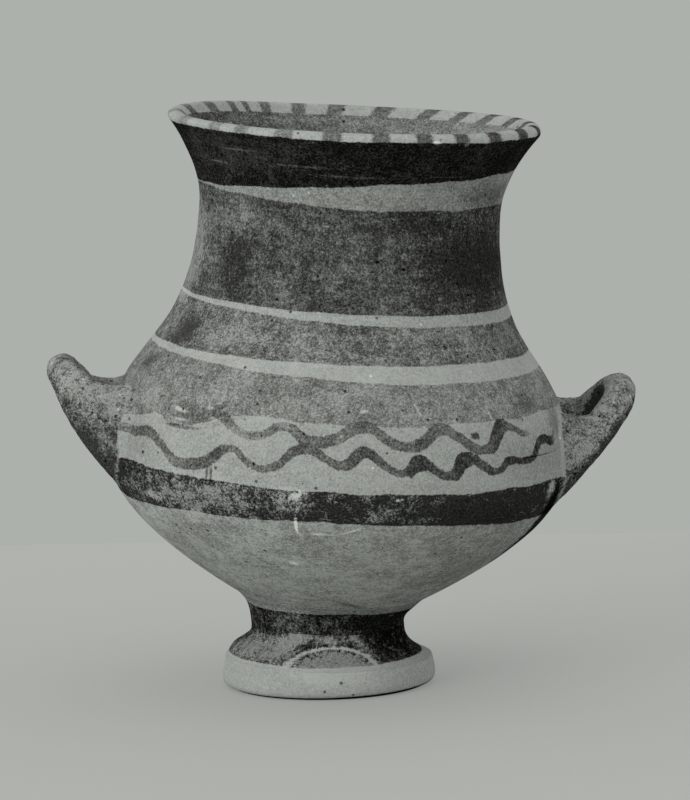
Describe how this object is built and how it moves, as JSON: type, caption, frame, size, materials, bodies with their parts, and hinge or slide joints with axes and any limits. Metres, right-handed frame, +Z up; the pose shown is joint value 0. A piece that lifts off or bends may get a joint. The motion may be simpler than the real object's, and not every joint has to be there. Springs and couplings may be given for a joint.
{
  "type": "amphoriskos",
  "caption": "Small two-handled ceramic pot: deep rounded bowl, tall neck with a flared lip, upswept loop handles and a low stemmed foot.",
  "frame": {"origin": "on the standing plane, under the middle of the pot's greatest width in X and in Y; the foot's own axis is at X = -5.3 mm", "axes": "+Z up, square to the standing plane; +X from the left handle to the right handle, the way the body leans; +Y to the back, away from the side that the picture shows"},
  "size_m": [0.1547, 0.1212, 0.1535],
  "materials": {
    "pale_fired_clay": "matte",
    "worn_slip_on_clay": "matte",
    "dark_slip_on_clay": "satin"
  },
  "bodies": {
    "root": {"body": "pale_fired_clay", "foot": "pale_fired_clay", "foot_luting_ring": "dark_slip_on_clay", "handle_left": "worn_slip_on_clay", "handle_left_front_root": "pale_fired_clay", "handle_left_back_root": "pale_fired_clay", "handle_right": "worn_slip_on_clay", "handle_right_front_root": "pale_fired_clay", "handle_right_back_root": "pale_fired_clay"}
  },
  "joints": []
}
